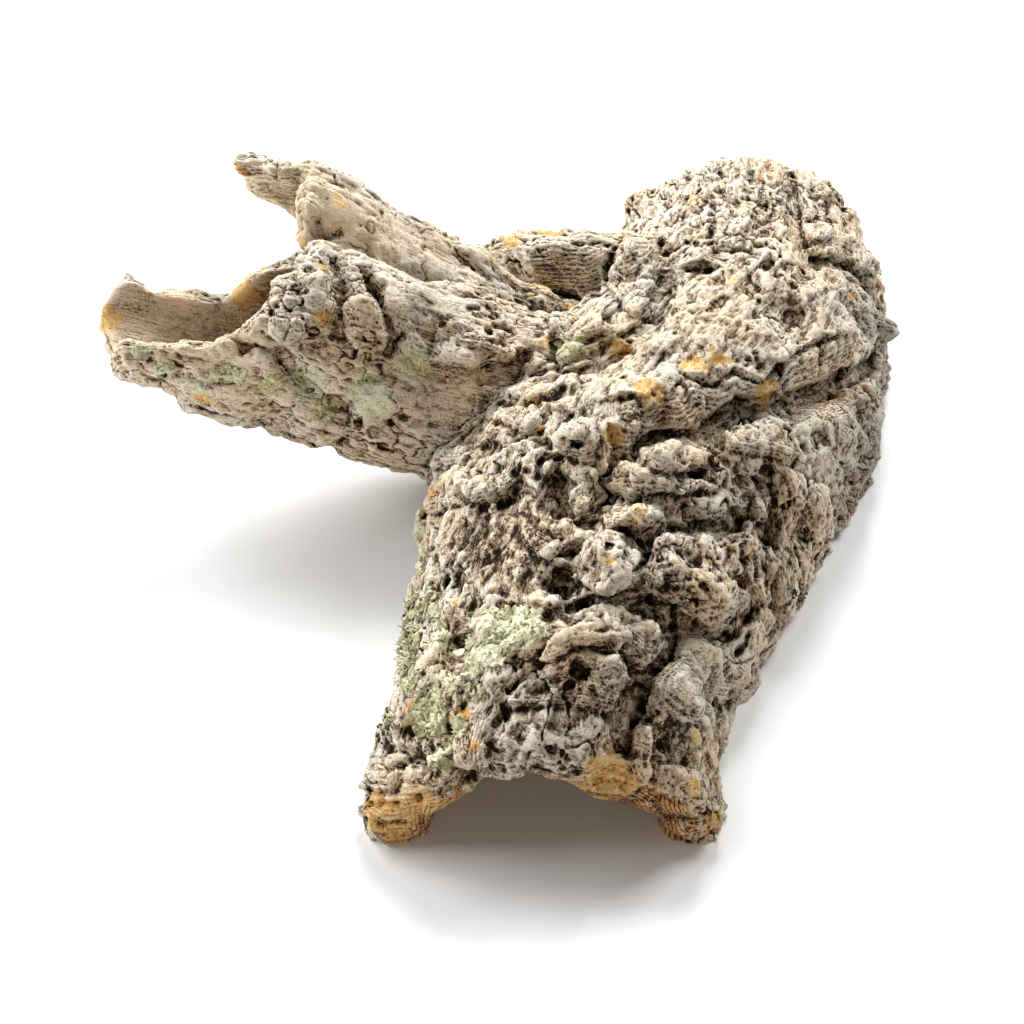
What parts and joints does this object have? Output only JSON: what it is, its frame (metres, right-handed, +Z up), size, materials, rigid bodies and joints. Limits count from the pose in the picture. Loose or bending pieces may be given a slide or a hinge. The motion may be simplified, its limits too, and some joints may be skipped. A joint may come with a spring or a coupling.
{
  "type": "cork branch",
  "caption": "Forked branch of virgin cork bark, hollow and open underneath, that stands on its long edges, with side limbs that end in an open trough and a gutter.",
  "frame": {"origin": "on the floor under the middle of the branch's bounding box", "axes": "+Z up; +Y along the stem, from its front end to the far limb; +X to the right, away from the side limbs"},
  "size_m": [0.366, 0.401, 0.1254],
  "materials": {
    "stem_bark": "rough weathered cork bark",
    "far_limb_bark": "rough weathered cork bark",
    "lower_side_limb_bark": "rough weathered cork bark with lichen",
    "upper_side_limb_bark": "rough weathered cork bark"
  },
  "bodies": {
    "root": {"stem": "stem_bark", "far_limb": "far_limb_bark", "lower_side_limb": "lower_side_limb_bark", "upper_side_limb": "upper_side_limb_bark"}
  },
  "joints": []
}
